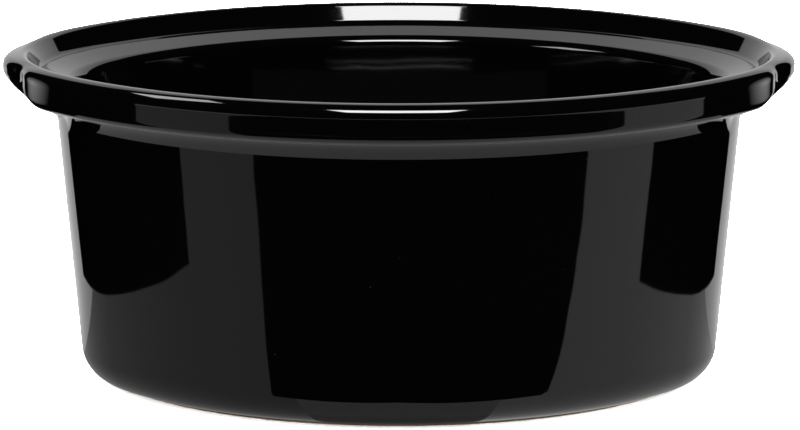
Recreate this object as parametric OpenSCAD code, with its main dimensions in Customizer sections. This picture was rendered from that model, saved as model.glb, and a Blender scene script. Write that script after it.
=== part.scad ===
// Oval stoneware crock of a slow cooker: a thick fired clay body with a thin coat of black glaze.
// Lengths are in millimetres. X runs along the oval, Z is up, and the foot stands on Z = 0.
// The four-arc oval that runs round the crest of the rim carries the whole shape: every other
// curve in plan is that oval moved in or out, so a section is drawn once, as points of
// [distance outside the crest line, height, corner radius, kind of the face that follows].

/* [Crest of the rim] */
// Length of the oval along the crest
crest_len = 356; // [320:1:420]
// Width of the oval across the crest
crest_wid = 290; // [260:1:320]
// Radius of the crest in plan at the two ends
crest_end_r = 112; // [104:1:122]
// Height from the table to the crest
crock_h = 159; // [110:1:200]

/* [Rim band] */
// How far the face of the band stands outside the crest line
band_out = 6.5; // [5:0.1:9]
// Height of the band from its underside to the crest
band_h = 18.5; // [15:0.1:26]
// Radius of the outer shoulder, below the crest
shoulder_r = 6.5; // [3:0.1:6.5]
// Radius of the band's lower edge
band_edge_r = 4.5; // [2:0.1:5]
// How far the outer wall stands inside the crest line, at the underside of the band
overhang = 15.5; // [12:0.1:20]
// Radius between the underside of the band and the wall
neck_r = 11; // [8:0.5:12]

/* [Lid seat] */
// Slope of the inner lip that centres the lid, from level
lip_slope = 60; // [45:1:75]
// Depth from the crest to the outer edge of the ledge
lip_drop = 9; // [6:0.1:10]
// Slope of the ledge, from level
ledge_slope = 18; // [8:1:22]
// Radius on the inside of the crest
lip_r = 3.2; // [2:0.1:4]
// Radius between the lip and the ledge
seat_r = 4; // [1:0.1:5]
// Radius where the ledge turns down into the well
brink_r = 5.5; // [2:0.1:7]

/* [Wall and floor] */
// Thickness of the wall, glaze included
wall_t = 8.5; // [7:0.1:11]
// Thickness of the floor, glaze included
floor_t = 8.5; // [7:0.1:12]
// Lean of the wall from upright
draft = 5.4; // [3:0.1:7]
// Radius of the outside corner at the base
base_r = 17; // [10:0.5:20]
// Radius of the inside corner at the floor
well_r = 24; // [15:0.5:26]
// Thickness of the glaze
glaze_t = 0.4; // [0.3:0.05:0.6]

/* [Foot] */
// Height of the foot ring below the base
foot_h = 2.2; // [1.5:0.1:4]
// Width of the foot ring
foot_w = 7; // [5:0.5:10]

/* [Grips] */
// How far each grip stands outside the crest line
grip_out = 9; // [8:0.1:12]
// Radius of a grip in plan
grip_plan_r = 65; // [50:1:80]
// How far the top of the grip lies below the crest
grip_drop = 2.5; // [2:0.1:3]
// Depth from the crest to the underside of the grip's lip
grip_t = 10; // [9:0.1:12]
// Radius of the grip's upper edge
grip_r = 5; // [3:0.1:5.5]

/* [Hidden] */
$fn = 180;

arc_step = 9;              // largest turn of one straight piece in a rounded corner, in degrees
over = 2;                  // how far a cutter runs past the face it cuts
wiped = 0.3;               // gap between the edge of the glaze and the foot ring
GLAZED = 0;                // kinds of face: under glaze,
BARE = 1;                  // bare clay,
OPEN = 2;                  // and a face that only closes the outline
crest_flat = 0.4;          // level strip along the very top of the rim

// The crest oval: two end arcs and two side arcs that meet without a kink.
half_len = crest_len / 2;
half_wid = crest_wid / 2;
end_x = half_len - crest_end_r;
side_gain = half_wid - crest_end_r;
side_y = (end_x ^ 2 - side_gain ^ 2) / (2 * side_gain);
side_r = half_wid + side_y;
end_angle = atan2(side_y, end_x);

// Heights and offsets along the section.
band_low = crock_h - band_h;
wall_lean = tan(draft);
inner_gap = wall_t / cos(draft);
under_z = foot_h;
floor_z = under_z + floor_t;
base_out = -overhang - (band_low - under_z) * wall_lean;
foot_out = base_out - base_r - foot_h / 4;
foot_in = foot_out - foot_w;
core_out = -overhang - (band_low - floor_z) * wall_lean - inner_gap - well_r - 6;

function inner_wall(z) = -overhang - (band_low - z) * wall_lean - inner_gap;
lip_top = -crest_flat - lip_r * tan(lip_slope / 2);
ledge_out = lip_top - lip_drop / tan(lip_slope);
ledge_top = crock_h - lip_drop;
// The ledge falls from its outer edge until it meets the inner face of the wall.
ledge_w = (ledge_out - inner_wall(ledge_top)) / (1 - wall_lean * tan(ledge_slope));
brink_out = ledge_out - ledge_w;
brink_z = ledge_top - ledge_w * tan(ledge_slope);

// The grip's underside, from the wall up to its lip.
grip_x = half_len + grip_out - grip_plan_r;
grip_low = crock_h - grip_t;
web_foot = [-overhang - 3, band_low - 12];
web_knee = [-overhang + 11, band_low - 4.2];
web_bend = [grip_out - 8.4, grip_low - 6.2];

// ---- Rounded outlines ----

function unit(v) = v / norm(v);
function left_of(v) = [-v.y, v.x];
function heading(p, i) = unit([p[(i + 1) % len(p)].x - p[i].x, p[(i + 1) % len(p)].y - p[i].y]);

// How far a face goes in: glazed ones by the inset, bare ones by their own amount.
function shift(kind, inset, bare) = kind == GLAZED ? inset : kind == BARE ? bare : 0;

// Corner i moved in with the two faces that meet there.
function moved(p, i, inset, bare) =
    let (k = (i + len(p) - 1) % len(p),
         a = left_of(heading(p, k)), b = left_of(heading(p, i)),
         s = shift(p[k][3], inset, bare), t = shift(p[i][3], inset, bare),
         d = cross(a, b))
    [p[i].x + (s * b.y - t * a.y) / d, p[i].y + (t * a.x - s * b.x) / d];

// Corner i as an arc, with its radius smaller on an outside corner and larger on an inside one.
function rounded_corner(p, i, inset, bare) =
    let (k = (i + len(p) - 1) % len(p),
         a = heading(p, k), b = heading(p, i),
         turn = atan2(cross(a, b), a * b),
         hand = sign(turn),
         r = p[i][2] == 0 ? 0 : p[i][2] - hand * inset,
         v = moved(p, i, inset, bare))
    r == 0 ? [v] :
    let (start = v - a * r * tan(abs(turn) / 2),
         centre = start + left_of(a) * r * hand,
         first = atan2(a.y, a.x) - 90 * hand,
         n = ceil(abs(turn) / arc_step))
    [for (j = [0:n]) centre + r * [cos(first + turn * j / n), sin(first + turn * j / n)]];

// A whole outline from its corners.
function outline(p, inset, bare = 0) = [for (i = [0:len(p) - 1]) each rounded_corner(p, i, inset, bare)];

// ---- Sections, anticlockwise, with the last faces running through the middle of the crock ----

outside = [
    [core_out, 0, 0, BARE],
    [foot_out, 0, 0, BARE],
    [foot_out, under_z, 0, GLAZED],
    [base_out, under_z, base_r, GLAZED],
    [-overhang, band_low, neck_r, GLAZED],
    [band_out, band_low, band_edge_r, GLAZED],
    [band_out, crock_h, shoulder_r, GLAZED],
    [core_out, crock_h, 0, OPEN]
];

well = [
    [core_out, floor_z, 0, GLAZED],
    [inner_wall(floor_z), floor_z, well_r, GLAZED],
    [brink_out, brink_z, brink_r, GLAZED],
    [ledge_out, ledge_top, seat_r, GLAZED],
    [lip_top, crock_h, lip_r, GLAZED],
    [-crest_flat, crock_h, 0, OPEN],
    [-crest_flat, crock_h + over, 0, OPEN],
    [core_out, crock_h + over, 0, OPEN]
];

recess = [
    [core_out, -over, 0, OPEN],
    [foot_in, -over, 0, BARE],
    [foot_in, under_z, 0, BARE],
    [core_out, under_z, 0, OPEN]
];

// The grip in its own middle plane, measured outside the crest line.
grip_side = [
    [web_foot.x, web_foot.y, 0, GLAZED],
    [web_knee.x, web_knee.y, 10, GLAZED],
    [web_bend.x, web_bend.y, 6, GLAZED],
    [grip_out, grip_low, 4, GLAZED],
    [grip_out, crock_h - grip_drop, grip_r, GLAZED],
    [web_foot.x, crock_h - grip_drop, 0, OPEN]
];

// ---- Solids ----

// The oval as a polygon, moved out by a distance, to fill the middle of a swept shape.
module oval_plate(out) {
    steps = 8;
    function along(c, r, from, to) =
        [for (i = [0:steps - 1]) let (t = from + (to - from) * i / steps) c + r * [cos(t), sin(t)]];
    polygon([
        each along([end_x, 0], crest_end_r + out, -end_angle, end_angle),
        each along([0, -side_y], side_r + out, end_angle, 180 - end_angle),
        each along([-end_x, 0], crest_end_r + out, 180 - end_angle, 180 + end_angle),
        each along([0, side_y], side_r + out, 180 + end_angle, 360 - end_angle)
    ]);
}

// A section swept round the oval, arc by arc, and filled in the middle.
module oval_sweep(corners, inset, bare) {
    section = outline(corners, inset, bare);
    low = section[0].y;
    high = section[len(section) - 1].y;
    for (half_turn = [0, 180]) rotate(half_turn) {
        translate([end_x, 0, 0]) rotate(-end_angle)
            rotate_extrude(angle = 2 * end_angle) translate([crest_end_r, 0]) polygon(section);
        translate([0, -side_y, 0]) rotate(end_angle)
            rotate_extrude(angle = 180 - 2 * end_angle) translate([side_r, 0]) polygon(section);
    }
    translate([0, 0, low]) linear_extrude(high - low) oval_plate(core_out + 4);
}

// One end's grip: its side outline turned about an upright axis inside the crock.
module grip(inset) {
    translate([grip_x, 0, 0]) rotate(-90)
        rotate_extrude(angle = 180) translate([half_len - grip_x, 0]) polygon(outline(grip_side, inset));
}

// The hollow under a grip's lip, which thins the band there for the fingers.
module finger_hollow(inset) {
    clear = 0.6;
    line = outline(grip_side, inset - clear);
    under = [for (q = line) if (q.y < grip_low - 1.5 && q.x > web_foot.x + 1) q];
    tip = under[len(under) - 1];
    rotate([90, 0, 0]) translate([half_len, 0, -grip_plan_r])
        linear_extrude(2 * grip_plan_r)
            polygon([each under, tip + [12, 8.7], [tip.x + 12, under[0].y]]);
}

// The crock with its glazed faces set in by the inset, and its dry foot by its own amount.
module crock(inset, bare = 0) {
    difference() {
        union() {
            difference() {
                oval_sweep(outside, inset, bare);
                for (half_turn = [0, 180]) rotate(half_turn) finger_hollow(inset);
            }
            for (half_turn = [0, 180]) rotate(half_turn) grip(inset);
        }
        oval_sweep(well, -inset, -bare);
        oval_sweep(recess, -inset, -bare);
    }
}

// Fired clay, bare on the foot ring and the underside within it.
module stoneware_body() {
    color("#b7a58c") crock(glaze_t);
}

// The glassy coat over the rest of the clay, with nothing of it down on the foot.
module glaze() {
    color("#0b0b0d") difference() {
        crock(0);
        crock(glaze_t, -wiped);
        translate([0, 0, -over]) linear_extrude(over + under_z - 0.05) oval_plate(base_out);
    }
}

stoneware_body();
glaze();
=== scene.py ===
import math

import bpy
import numpy as np
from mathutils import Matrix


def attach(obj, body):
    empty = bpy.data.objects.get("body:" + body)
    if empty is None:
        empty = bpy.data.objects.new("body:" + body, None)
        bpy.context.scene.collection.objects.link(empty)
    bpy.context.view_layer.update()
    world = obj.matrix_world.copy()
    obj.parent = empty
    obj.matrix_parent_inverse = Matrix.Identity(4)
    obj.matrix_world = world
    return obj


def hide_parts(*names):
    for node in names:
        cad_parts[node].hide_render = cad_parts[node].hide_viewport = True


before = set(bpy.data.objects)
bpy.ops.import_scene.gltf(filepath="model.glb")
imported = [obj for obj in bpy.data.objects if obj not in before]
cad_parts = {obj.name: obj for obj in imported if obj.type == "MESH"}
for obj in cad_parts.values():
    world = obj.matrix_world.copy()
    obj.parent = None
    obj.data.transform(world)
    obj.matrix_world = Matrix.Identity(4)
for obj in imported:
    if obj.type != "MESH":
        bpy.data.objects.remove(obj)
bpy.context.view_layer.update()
scene = bpy.context.scene

# ---- Sizes of the crock, in millimetres ----

MM = 0.001
CREST_LEN, CREST_WID, CREST_END_R = 356, 290, 112
CROCK_H, BAND_OUT, BAND_H, SHOULDER_R, BAND_EDGE_R = 159, 6.49, 18.5, 6.5, 4.5
OVERHANG, NECK_R = 15.5, 11
LIP_SLOPE, LIP_DROP, LIP_R, LEDGE_SLOPE, SEAT_R, BRINK_R = 60, 9, 3.2, 18, 4, 5.5
WALL_T, FLOOR_T, DRAFT, BASE_R, WELL_R, GLAZE_T = 8.5, 8.5, 5.4, 17, 24, 0.4
FOOT_H, FOOT_W, WIPED = 2.2, 7, 0.3
GRIP_OUT, GRIP_PLAN_R, GRIP_DROP, GRIP_T, GRIP_R = 8.95, 65, 2, 10, 5
GRIP_HALF = 60                     # how far the changed rim at a grip reaches to each side of its middle
GRIP_FULL = 34                     # how far from its middle the grip has its full shape
EAR_W = 17                         # spread of the grip's ear
PINCH, PINCH_AT, PINCH_W = 0.45, 36, 13    # how much the rim pinches in beside a grip, where, and its spread
FOOT_EDGE_R = 0.7
CORE_GAP = 6                       # the flat middle of the floor ends this far inside the well's corner
ARC_STEPS = 44                     # steps round each arc of the oval
WELD = 2e-6                        # in metres

# The crest oval: two end arcs and two side arcs that meet without a kink.
HALF_LEN, HALF_WID = CREST_LEN / 2, CREST_WID / 2
END_X = HALF_LEN - CREST_END_R
SIDE_GAIN = HALF_WID - CREST_END_R
SIDE_Y = (END_X ** 2 - SIDE_GAIN ** 2) / (2 * SIDE_GAIN)
SIDE_R = HALF_WID + SIDE_Y
END_ANGLE = math.atan2(SIDE_Y, END_X)

# Heights, and distances outside the crest line, along the section.
BAND_LOW = CROCK_H - BAND_H
LEAN = math.tan(math.radians(DRAFT))
INNER_GAP = WALL_T / math.cos(math.radians(DRAFT))
FLOOR_Z = FOOT_H + FLOOR_T
BASE_OUT = -OVERHANG - (BAND_LOW - FOOT_H) * LEAN
FOOT_OUT = BASE_OUT - BASE_R - FOOT_H / 4
FOOT_IN = FOOT_OUT - FOOT_W
CREST_FLAT = 0.4
LIP_TOP = -CREST_FLAT - LIP_R * math.tan(math.radians(LIP_SLOPE / 2))
LEDGE_OUT = LIP_TOP - LIP_DROP / math.tan(math.radians(LIP_SLOPE))
LEDGE_TOP = CROCK_H - LIP_DROP
LEDGE_FALL = math.tan(math.radians(LEDGE_SLOPE))


def outer_wall(z):
    return -OVERHANG - (BAND_LOW - z) * LEAN


def inner_wall(z):
    return outer_wall(z) - INNER_GAP


LEDGE_W = (LEDGE_OUT - inner_wall(LEDGE_TOP)) / (1 - LEAN * LEDGE_FALL)
BRINK = (LEDGE_OUT - LEDGE_W, LEDGE_TOP - LEDGE_W * LEDGE_FALL)
CORE_OUT = inner_wall(FLOOR_Z) - WELL_R - CORE_GAP


# ---- Outlines ----

def moved_in(corners, inset):
    """Corners [out, z, radius] of an open outline, walked with the clay on the left, moved in by the inset."""
    pts = [np.array(c[:2], float) for c in corners]
    dirs = [(b - a) / np.linalg.norm(b - a) for a, b in zip(pts, pts[1:])]
    dirs = [dirs[0]] + dirs + [dirs[-1]]
    out = []
    for p, c, a, b in zip(pts, corners, dirs, dirs[1:]):
        na, nb = np.array([-a[1], a[0]]), np.array([-b[1], b[0]])
        turn = a[0] * b[1] - a[1] * b[0]
        step = inset * (na + nb) / (1 + na @ nb)
        r = c[2] - math.copysign(inset, turn) if c[2] and abs(turn) > 1e-9 else c[2]
        out.append((p + step, max(r, 0)))
    return out


def rounded(corners, inset, turn_step=5):
    """Points along an outline with its corners rounded, and where the middle of each corner falls in them."""
    pts = moved_in(corners, inset)
    line, middles = [], []
    for i, (p, r) in enumerate(pts):
        if r == 0 or i in (0, len(pts) - 1):
            middles.append(len(line))
            line.append(p)
            continue
        a = p - pts[i - 1][0]
        b = pts[i + 1][0] - p
        a, b = a / np.linalg.norm(a), b / np.linalg.norm(b)
        turn = math.atan2(a[0] * b[1] - a[1] * b[0], a @ b)
        side = math.copysign(1, turn)
        start = p - a * r * math.tan(abs(turn) / 2)
        centre = start + side * r * np.array([-a[1], a[0]])
        n = 2 * max(1, math.ceil(math.degrees(abs(turn)) / turn_step / 2))
        middles.append(len(line) + n // 2)
        for k in range(n + 1):
            t = turn * k / n
            v = start - centre
            line.append(centre + np.array([v[0] * math.cos(t) - v[1] * math.sin(t),
                                           v[0] * math.sin(t) + v[1] * math.cos(t)]))
    return line, middles


def evenly(line, count):
    """The same polyline as count equal steps."""
    line = np.array(line)
    at = np.concatenate([[0], np.cumsum(np.linalg.norm(np.diff(line, axis=0), axis=1))])
    want = np.linspace(0, at[-1], count + 1)
    return [np.array([np.interp(w, at, line[:, 0]), np.interp(w, at, line[:, 1])]) for w in want]


WEB_TOP = BAND_LOW - 24            # below this height the wall under a grip is the plain wall
WEB_Z = BAND_LOW - 12
BAND = [[outer_wall(WEB_TOP), WEB_TOP, 0], [-OVERHANG, BAND_LOW, NECK_R], [BAND_OUT, BAND_LOW, BAND_EDGE_R],
        [BAND_OUT, CROCK_H, SHOULDER_R], [-CREST_FLAT, CROCK_H, 0]]
GRIP = [[outer_wall(WEB_TOP), WEB_TOP, 0], [outer_wall(WEB_Z) - 0.4, WEB_Z, 5],
        [-OVERHANG + 11, BAND_LOW - 4.2, 10], [GRIP_OUT - 8.4, CROCK_H - GRIP_T - 6.2, 6],
        [GRIP_OUT, CROCK_H - GRIP_T, 4],
        [GRIP_OUT, CROCK_H - GRIP_DROP, GRIP_R], [0.8, CROCK_H - 0.2, 4], [-CREST_FLAT, CROCK_H, 0]]
MATCHED = [(0, 0), (1, 1), (2, 4), (3, 5), (4, 7)]     # corners of the band, and of the grip they turn into


def rim_rows(inset, spacing):
    """Matching rows of the plain band and of the grip, from the wall up to the crest."""
    plain, plain_at = rounded(BAND, inset, 3)
    grip, grip_at = rounded(GRIP, inset, 3)
    rows = []
    for (pa, ga), (pb, gb) in zip(MATCHED, MATCHED[1:]):
        piece = plain[plain_at[pa]:plain_at[pb] + 1]
        other = grip[grip_at[ga]:grip_at[gb] + 1]
        length = np.linalg.norm(np.diff(np.array(piece), axis=0), axis=1).sum()
        n = max(2, round(length / spacing))
        both = list(zip(evenly(piece, n), evenly(other, n)))
        rows += both if not rows else both[1:]
    return rows


def skin(inset, spacing, turn_step):
    """The glazed face from the well's floor, over the rim and down to the foot: points, and the rim's rows."""
    inside, _ = rounded([[CORE_OUT, FLOOR_Z, 0], [inner_wall(FLOOR_Z), FLOOR_Z, WELL_R],
                         [*BRINK, BRINK_R], [LEDGE_OUT, LEDGE_TOP, SEAT_R],
                         [LIP_TOP, CROCK_H, LIP_R], [-CREST_FLAT, CROCK_H, 0]],
                        -inset, turn_step)
    rows = rim_rows(inset, spacing)[::-1]
    below, _ = rounded([[FOOT_OUT + WIPED, FOOT_H, 0], [BASE_OUT, FOOT_H, BASE_R],
                        [outer_wall(WEB_TOP), WEB_TOP, 0]], inset, turn_step)
    line = inside[:-1] + [p for p, _ in rows] + below[::-1][1:]
    return line, rows


# ---- Meshes ----

def start_piece(name):
    bpy.ops.object.select_all(action="DESELECT")
    bpy.ops.mesh.primitive_plane_add(size=0.01)
    piece = bpy.context.object
    piece.name = name
    piece.data.name = name
    return piece


def swept_oval(name, line):
    """A section drawn by extruding one vertex, spun about each of the oval's arc centres, and filled."""
    piece = start_piece(name)
    bpy.ops.object.mode_set(mode="EDIT")
    bpy.ops.mesh.select_all(action="SELECT")
    bpy.ops.mesh.merge(type="CENTER")
    bpy.ops.mesh.select_all(action="SELECT")
    sin_a, cos_a = math.sin(END_ANGLE), math.cos(END_ANGLE)
    path = [((END_X + (CREST_END_R + p[0]) * cos_a) * MM, -(CREST_END_R + p[0]) * sin_a * MM, p[1] * MM)
            for p in line]
    bpy.ops.transform.translate(value=path[0])
    for a, b in zip(path, path[1:]):
        bpy.ops.mesh.extrude_vertices_move(
            TRANSFORM_OT_translate={"value": tuple(q - p for p, q in zip(a, b))})
    bpy.ops.mesh.select_all(action="SELECT")
    end_turn, side_turn = 2 * END_ANGLE, math.pi - 2 * END_ANGLE
    arcs = [(END_X, 0, end_turn), (0, -SIDE_Y, side_turn), (-END_X, 0, end_turn), (0, SIDE_Y, side_turn)]
    for x, y, angle in arcs:
        bpy.ops.mesh.spin(steps=ARC_STEPS, angle=angle, center=(x * MM, y * MM, 0), axis=(0, 0, -1))
    bpy.ops.mesh.select_all(action="SELECT")
    bpy.ops.mesh.remove_doubles(threshold=WELD)
    bpy.ops.mesh.select_all(action="DESELECT")
    bpy.ops.mesh.select_non_manifold()
    bpy.ops.mesh.edge_face_add()
    bpy.ops.mesh.select_all(action="SELECT")
    bpy.ops.mesh.normals_make_consistent(inside=False)
    bpy.ops.object.mode_set(mode="OBJECT")
    return piece


def shape_grips(piece, rows):
    """Draws the rim out into the two grips by moving the rows of each end: a lip with a hollow under it."""
    n = len(piece.data.vertices)
    co = np.empty(n * 3)
    piece.data.vertices.foreach_get("co", co)
    co = co.reshape(-1, 3) / MM
    plain = np.array([p for p, _ in rows])
    grip = np.array([g for _, g in rows])
    side = np.sign(co[:, 0])
    arm = np.stack([np.abs(co[:, 0]) - END_X, co[:, 1]], axis=1)
    reach = np.linalg.norm(arm, axis=1)
    plan_x = HALF_LEN + GRIP_OUT - GRIP_PLAN_R - END_X
    neck = plain[(plain[:, 0] < -OVERHANG + 2)]
    neck = neck[np.argsort(neck[:, 1])]
    neck_z, neck_out = neck[:, 1], neck[:, 0]
    near = (arm[:, 0] > 0) & (np.abs(co[:, 1]) < GRIP_HALF) & (co[:, 2] > WEB_TOP - 1)
    for i in np.nonzero(near)[0]:
        here = np.array([reach[i] - CREST_END_R, co[i, 2]])
        gaps = np.linalg.norm(plain - here, axis=1)
        k = gaps.argmin()
        if gaps[k] > 0.02:
            continue
        u = arm[i] / reach[i]
        out, z = grip[k]
        # The rim pinches in beside each grip, and the web and the hollow follow the grip's own arc in plan.
        y = abs(co[i, 1])
        pinched = BAND_OUT * (1 - PINCH * math.exp(-((y - PINCH_AT) / PINCH_W) ** 2))
        ear = (GRIP_OUT - pinched) * math.exp(-(y / EAR_W) ** 2)
        lip_out = out * (pinched + ear) / GRIP_OUT if out > 0 else out
        straight = (CREST_END_R + out) / u[0] - CREST_END_R
        web_r = plan_x + out
        web_out = plan_x * u[0] + math.sqrt(max(web_r ** 2 - (plan_x * u[1]) ** 2, 0)) - CREST_END_R
        hollow_out = min((straight + web_out) / 2, max(pinched, out))
        web_out = max(web_out, np.interp(z, neck_z, neck_out))
        high = np.clip((z - (CROCK_H - GRIP_T - 3)) / 3, 0, 1)
        low = np.clip((BAND_LOW + 1 - z) / 3, 0, 1)
        out = high * lip_out + low * web_out + (1 - high - low) * hollow_out
        t = np.clip((y - GRIP_FULL) / (GRIP_HALF - GRIP_FULL), 0, 1)
        w = 1 - t * t * (3 - 2 * t)
        out, z = (1 - w) * plain[k] + w * np.array([out, z])
        co[i] = side[i] * (END_X + u[0] * (CREST_END_R + out)), u[1] * (CREST_END_R + out), z
    piece.data.vertices.foreach_set("co", (co * MM).ravel())
    piece.data.update()


def finish_piece(piece, node, material, sharp=40):
    bpy.context.view_layer.objects.active = piece
    piece.select_set(True)
    bpy.ops.object.shade_smooth_by_angle(angle=math.radians(sharp))
    piece.data.materials.clear()
    piece.data.materials.append(material)
    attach(piece, "root")
    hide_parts(node)


# ---- Finishes ----

def fired_surface():
    """What the kiln leaves on both finishes: slow waves, fine grain and pin-prick specks."""
    group = bpy.data.node_groups.new("fired surface", "ShaderNodeTree")
    face = group.interface
    for name in ("Colour", "Speck Colour"):
        face.new_socket(name, in_out="INPUT", socket_type="NodeSocketColor").default_value = (0, 0, 0, 1)
    for name, value in (("Roughness", 0.5), ("Wave Scale", 10), ("Grain Scale", 400), ("Grain Share", 0.1),
                        ("Speck Scale", 300), ("Speck Size", 0.1)):
        face.new_socket(name, in_out="INPUT", socket_type="NodeSocketFloat").default_value = value
    face.new_socket("Colour", in_out="OUTPUT", socket_type="NodeSocketColor")
    face.new_socket("Roughness", in_out="OUTPUT", socket_type="NodeSocketFloat")
    face.new_socket("Height", in_out="OUTPUT", socket_type="NodeSocketFloat")
    n, link = group.nodes, group.links.new
    given, result = n.new("NodeGroupInput"), n.new("NodeGroupOutput")
    place, spread = n.new("ShaderNodeTexCoord"), n.new("ShaderNodeMapping")
    spread.inputs["Rotation"].default_value = (0.35, 0.2, 0.6)
    link(place.outputs["Object"], spread.inputs["Vector"])
    wave, grain, cells = (n.new("ShaderNodeTex" + kind) for kind in ("Noise", "Noise", "Voronoi"))
    wave.inputs["Detail"].default_value = 1.5
    grain.inputs["Detail"].default_value = 4
    for tex, scale in ((wave, "Wave Scale"), (grain, "Grain Scale"), (cells, "Speck Scale")):
        link(spread.outputs["Vector"], tex.inputs["Vector"])
        link(given.outputs[scale], tex.inputs["Scale"])
    # A speck is the middle of a cell, and only about one cell in six has one.
    small, chosen, speck = (n.new("ShaderNodeMath") for _ in range(3))
    small.operation = "LESS_THAN"
    chosen.operation = "GREATER_THAN"
    chosen.inputs[1].default_value = 0.84
    speck.operation = "MULTIPLY"
    link(cells.outputs["Distance"], small.inputs[0])
    link(given.outputs["Speck Size"], small.inputs[1])
    link(cells.outputs["Color"], chosen.inputs[0])
    link(small.outputs[0], speck.inputs[0])
    link(chosen.outputs[0], speck.inputs[1])
    tint = n.new("ShaderNodeMix")
    tint.data_type = "RGBA"
    link(speck.outputs[0], tint.inputs["Factor"])
    link(given.outputs["Colour"], tint.inputs["A"])
    link(given.outputs["Speck Colour"], tint.inputs["B"])
    link(tint.outputs["Result"], result.inputs["Colour"])
    uneven = n.new("ShaderNodeMath")
    uneven.operation = "MULTIPLY_ADD"
    uneven.inputs[1].default_value = 0.3
    dull = n.new("ShaderNodeMath")
    dull.operation = "MULTIPLY"
    link(grain.outputs["Fac"], uneven.inputs[0])
    uneven.inputs[2].default_value = 0.85
    link(uneven.outputs[0], dull.inputs[0])
    link(given.outputs["Roughness"], dull.inputs[1])
    link(dull.outputs[0], result.inputs["Roughness"])
    # Height: the waves, with a share of grain, and a pit at each speck.
    ripple, pit = n.new("ShaderNodeMath"), n.new("ShaderNodeMath")
    ripple.operation = pit.operation = "MULTIPLY_ADD"
    link(grain.outputs["Fac"], ripple.inputs[0])
    link(given.outputs["Grain Share"], ripple.inputs[1])
    link(wave.outputs["Fac"], ripple.inputs[2])
    pit.inputs[1].default_value = -0.04
    link(speck.outputs[0], pit.inputs[0])
    link(ripple.outputs[0], pit.inputs[2])
    link(pit.outputs[0], result.inputs["Height"])
    return group


def finish_material(name, group, values, rise):
    mat = bpy.data.materials.new(name)
    mat.use_nodes = True
    n, link = mat.node_tree.nodes, mat.node_tree.links.new
    shader = n["Principled BSDF"]
    surface, bump = n.new("ShaderNodeGroup"), n.new("ShaderNodeBump")
    surface.node_tree = group
    for key, value in values.items():
        surface.inputs[key].default_value = value
    bump.inputs["Strength"].default_value = 1
    bump.inputs["Distance"].default_value = rise
    link(surface.outputs["Colour"], shader.inputs["Base Color"])
    link(surface.outputs["Roughness"], shader.inputs["Roughness"])
    link(surface.outputs["Height"], bump.inputs["Height"])
    link(bump.outputs["Normal"], shader.inputs["Normal"])
    return mat, shader


fired = fired_surface()
glaze, glaze_shader = finish_material("black glaze", fired, {
    "Colour": (0.0012, 0.0012, 0.0013, 1), "Speck Colour": (0.05, 0.042, 0.035, 1),
    "Roughness": 0.045, "Wave Scale": 16, "Grain Scale": 160, "Grain Share": 0.01,
    "Speck Scale": 260, "Speck Size": 0.07}, 0.00035)
glaze_shader.inputs["IOR"].default_value = 1.5
clay, clay_shader = finish_material("fired clay", fired, {
    "Colour": (0.42, 0.35, 0.26, 1), "Speck Colour": (0.16, 0.11, 0.07, 1),
    "Roughness": 0.85, "Wave Scale": 40, "Grain Scale": 900, "Grain Share": 0.6,
    "Speck Scale": 420, "Speck Size": 0.22}, 0.0004)
clay_shader.inputs["IOR"].default_value = 1.45
for node, finish in (("glaze", glaze), ("stoneware_body", clay)):
    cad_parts[node].data.materials.clear()
    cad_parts[node].data.materials.append(finish)


# ---- The crock ----

coat, coat_rows = skin(0, 0.7, 5)
lining, lining_rows = skin(GLAZE_T, 1.4, 10)
crock_glaze = swept_oval("crock_glaze", coat + lining[::-1])
shape_grips(crock_glaze, coat_rows)
shape_grips(crock_glaze, lining_rows)
finish_piece(crock_glaze, "glaze", glaze)

foot, _ = rounded([[FOOT_OUT + 3, FOOT_H + GLAZE_T, 0], [FOOT_OUT, FOOT_H + GLAZE_T, 0],
                   [FOOT_OUT, 0, FOOT_EDGE_R], [FOOT_IN, 0, FOOT_EDGE_R],
                   [FOOT_IN, FOOT_H, FOOT_EDGE_R], [CORE_OUT, FOOT_H, 0]], 0, 15)
crock_clay = swept_oval("crock_clay", lining[:-1] + foot[1:])
shape_grips(crock_clay, lining_rows)
finish_piece(crock_clay, "stoneware_body", clay)


# ---- The studio ----

def glow_material(name, strength):
    mat = bpy.data.materials.new(name)
    mat.use_nodes = True
    n = mat.node_tree.nodes
    n.remove(n["Principled BSDF"])
    glow = n.new("ShaderNodeEmission")
    glow.inputs["Strength"].default_value = strength
    mat.node_tree.links.new(glow.outputs["Emission"], n["Material Output"].inputs["Surface"])
    return mat


def soft_glow_material(name, strength):
    """A glow brightest in the middle and dark at the edge, for a card that stands across the x axis, which
    paints a soft highlight where the glaze mirrors it.
    """
    glow = glow_material(name, strength)
    nodes, join = glow.node_tree.nodes, glow.node_tree.links.new
    place, spread, ball, level = (nodes.new(k) for k in (
        "ShaderNodeTexCoord", "ShaderNodeMapping", "ShaderNodeTexGradient", "ShaderNodeMath"))
    spread.inputs["Location"].default_value = (0, -1, -1)
    spread.inputs["Scale"].default_value = (0, 2, 2)
    ball.gradient_type = "SPHERICAL"
    level.operation = "MULTIPLY"
    level.inputs[1].default_value = strength
    join(place.outputs["Generated"], spread.inputs["Vector"])
    join(spread.outputs[0], ball.inputs["Vector"])
    join(ball.outputs["Fac"], level.inputs[0])
    join(level.outputs[0], next(n for n in nodes if n.type == "EMISSION").inputs["Strength"])
    return glow


def reflected_only(piece):
    piece.visible_camera = False
    piece.visible_diffuse = False
    piece.visible_shadow = False
    piece.visible_transmission = False
    piece.visible_volume_scatter = False


def card(name, corners, material):
    """A flat card that is seen only in reflections."""
    piece = start_piece(name)
    for v, c in zip(piece.data.vertices, [corners[0], corners[1], corners[3], corners[2]]):
        v.co = c
    piece.data.materials.append(material)
    reflected_only(piece)


black_card = glow_material("black card", 0)

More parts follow.
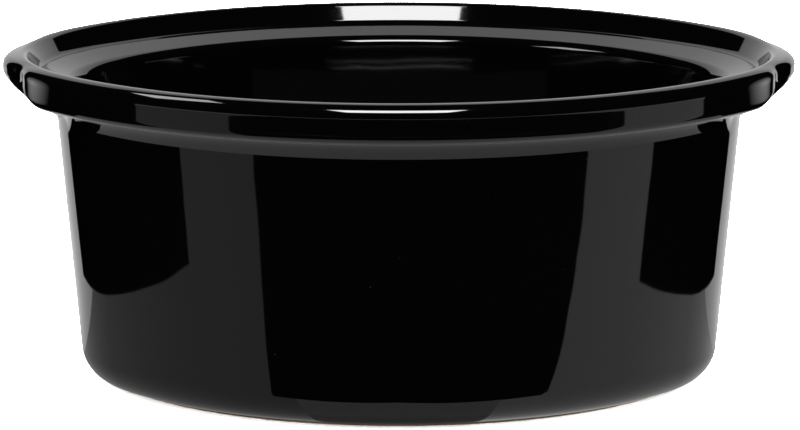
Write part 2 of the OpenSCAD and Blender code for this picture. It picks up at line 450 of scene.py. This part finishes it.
# A large pale floor that merges with the white surroundings and keeps the crock's shadow.
bpy.ops.mesh.primitive_plane_add(size=60)
floor = bpy.context.object
floor.name = "floor"
paper = bpy.data.materials.new("white paper")
paper.use_nodes = True
pn, plink = paper.node_tree.nodes, paper.node_tree.links.new
pn.remove(pn["Principled BSDF"])
matt, seen, tone = (pn.new(k) for k in ("ShaderNodeBsdfDiffuse", "ShaderNodeLightPath", "ShaderNodeMath"))
# To the eye the paper is lit well past white, so only the shadow right under the crock shows on it.
tone.operation = "MULTIPLY_ADD"
tone.inputs[1].default_value = 12
tone.inputs[2].default_value = 0.86
plink(seen.outputs["Is Camera Ray"], tone.inputs[0])
plink(tone.outputs[0], matt.inputs["Color"])
plink(matt.outputs[0], pn["Material Output"].inputs["Surface"])
floor.data.materials.append(paper)

# Surroundings: white to the eye, a soft even light on the floor, dark in reflections.
world = bpy.data.worlds.new("studio")
scene.world = world
world.use_nodes = True
wn, wlink = world.node_tree.nodes, world.node_tree.links.new
path = wn.new("ShaderNodeLightPath")
level = wn.new("ShaderNodeMath")
level.operation = "MULTIPLY_ADD"
level.inputs[1].default_value = -0.75
level.inputs[2].default_value = 0.75
wlink(path.outputs["Is Glossy Ray"], level.inputs[0])
whiter = wn.new("ShaderNodeMath")
whiter.operation = "MAXIMUM"
wlink(level.outputs[0], whiter.inputs[0])
wlink(path.outputs["Is Camera Ray"], whiter.inputs[1])
wlink(whiter.outputs[0], wn["Background"].inputs["Strength"])
wn["Background"].inputs["Color"].default_value = (1, 1, 1, 1)

# The broad overhead lamp lights the floor; its lit face is a card of its own, which the glaze mirrors.
LAMP_Z = 1.4
bpy.ops.object.light_add(type="AREA", location=(0, 0.1, LAMP_Z))
lamp = bpy.context.object
lamp.name = "overhead lamp"
lamp.data.shape = "RECTANGLE"
lamp.data.size, lamp.data.size_y = 1.0, 1.6
lamp.data.energy = 14
lamp.visible_camera = False
lamp.visible_glossy = False

card("lamp face", [(x, y, LAMP_Z) for x, y in ((-0.34, -1.16), (0.32, -1.16), (0.32, -0.60), (-0.34, -0.60))],
     glow_material("lamp face", 22))
card("small lamp face", [(-0.27, -0.10, 0.34), (-0.20, -0.13, 0.40), (-0.20, -0.03, 0.44), (-0.27, 0.0, 0.38)],
     glow_material("small lamp face", 7))

# Glowing cards level with the band's two ends, seen only in reflections, whose soft-edged glow paints a pale
# highlight on each end of the rim.
for side, name in ((-1, "left end highlight glow"), (1, "right end highlight glow")):
    x = 0.25 * side
    card(name, [(x, -0.043, 0.11), (x, 0.034, 0.11), (x, 0.034, 0.188), (x, -0.043, 0.188)],
         soft_glow_material(name, 2.0))

# White backdrop behind the crock.
card("backdrop", [(-1.8, 2.0, 0), (1.8, 2.0, 0), (1.8, 2.0, 2.6), (-1.8, 2.0, 2.6)],
     glow_material("backdrop", 0.9))

# Black flags at both sides, glowing grey cards on the table beside them and black sheets on the floor in
# front, all seen only in reflections.
for name, x, front in (("left flag", -0.279, -0.154), ("right flag", 0.279, -0.095)):
    card(name, [(x, front, 0), (x, 0.13, 0), (x, 0.13, 0.8), (x, front, 0.8)], black_card)
GREY_GLOW_Z, DARK_SHEET_Z = 0.0006, 0.001
# The grey cards glow rather than being lit: a painted reflection that draws the grey panels at each side of
# the wall.
for name, strength, outline in (
        ("left grey glow card", 0.34, [(-1.5, -2), (0, -0.05), (-0.05, 0.02), (-1.5, 0.3)]),
        ("right grey glow card", 0.6, [(0.0, -0.05), (1.5, -2), (1.5, 0.3), (0.05, 0.02)])):
    card(name, [(x, y, GREY_GLOW_Z) for x, y in outline], glow_material(name, strength))
# The black sheets are painted shade in the reflections: they darken the floor in front as the glaze mirrors
# it, while to the eye the floor stays white.
for name, outline in (
        ("front dark sheet left", [(-0.075, -0.125), (0, -0.136), (0, -0.63), (-0.7, -0.73)]),
        ("front dark sheet right", [(0, -0.136), (0.085, -0.120), (0.9, -0.53), (0, -0.63)]),
        ("front dark sheet far", [(-0.7, -0.73), (0.9, -0.53), (2, -3), (-2, -3)])):
    card(name, [(x, y, DARK_SHEET_Z) for x, y in outline], black_card)


# Glowing strips tucked under the front of the band, seen only in reflections, which paint the light lines
# along its lower edge as painted highlights.
STRIP_Z = 130.4


def strip_under_band(name, low, high, strength):
    strip = start_piece(name)
    bpy.ops.object.mode_set(mode="EDIT")
    bpy.ops.mesh.select_all(action="SELECT")
    bpy.ops.mesh.merge(type="CENTER")
    bpy.ops.mesh.select_all(action="SELECT")
    turn = math.pi / 2 - END_ANGLE - 0.02
    x, y = math.sin(turn), -math.cos(turn)
    near, across = SIDE_R + low, high - low
    bpy.ops.transform.translate(value=(near * x * MM, (SIDE_Y + near * y) * MM, STRIP_Z * MM))
    bpy.ops.mesh.extrude_vertices_move(TRANSFORM_OT_translate={"value": (across * x * MM, across * y * MM, 0)})
    bpy.ops.mesh.select_all(action="SELECT")
    bpy.ops.mesh.spin(steps=40, angle=2 * turn, center=(0, SIDE_Y * MM, 0), axis=(0, 0, 1))
    bpy.ops.object.mode_set(mode="OBJECT")
    strip.data.materials.append(glow_material(name, strength))
    reflected_only(strip)


strip_under_band("highlight strip by the wall", outer_wall(130) + 0.1, -11, 0.7)
strip_under_band("highlight strip under the band", -4, 16, 0.6)

# ---- Camera ----

target, far, height = (0, 0, 0.080), 2.8, math.radians(11.1)
bpy.ops.object.camera_add(location=(0, -far * math.cos(height), target[2] + far * math.sin(height)),
                          rotation=(math.pi / 2 - height, 0, 0))
camera = bpy.context.object
camera.data.lens = 265.7
camera.data.sensor_width = 36
camera.data.shift_x = 0.0014
camera.data.shift_y = -0.0005
scene.camera = camera
scene.view_settings.view_transform = "Standard"
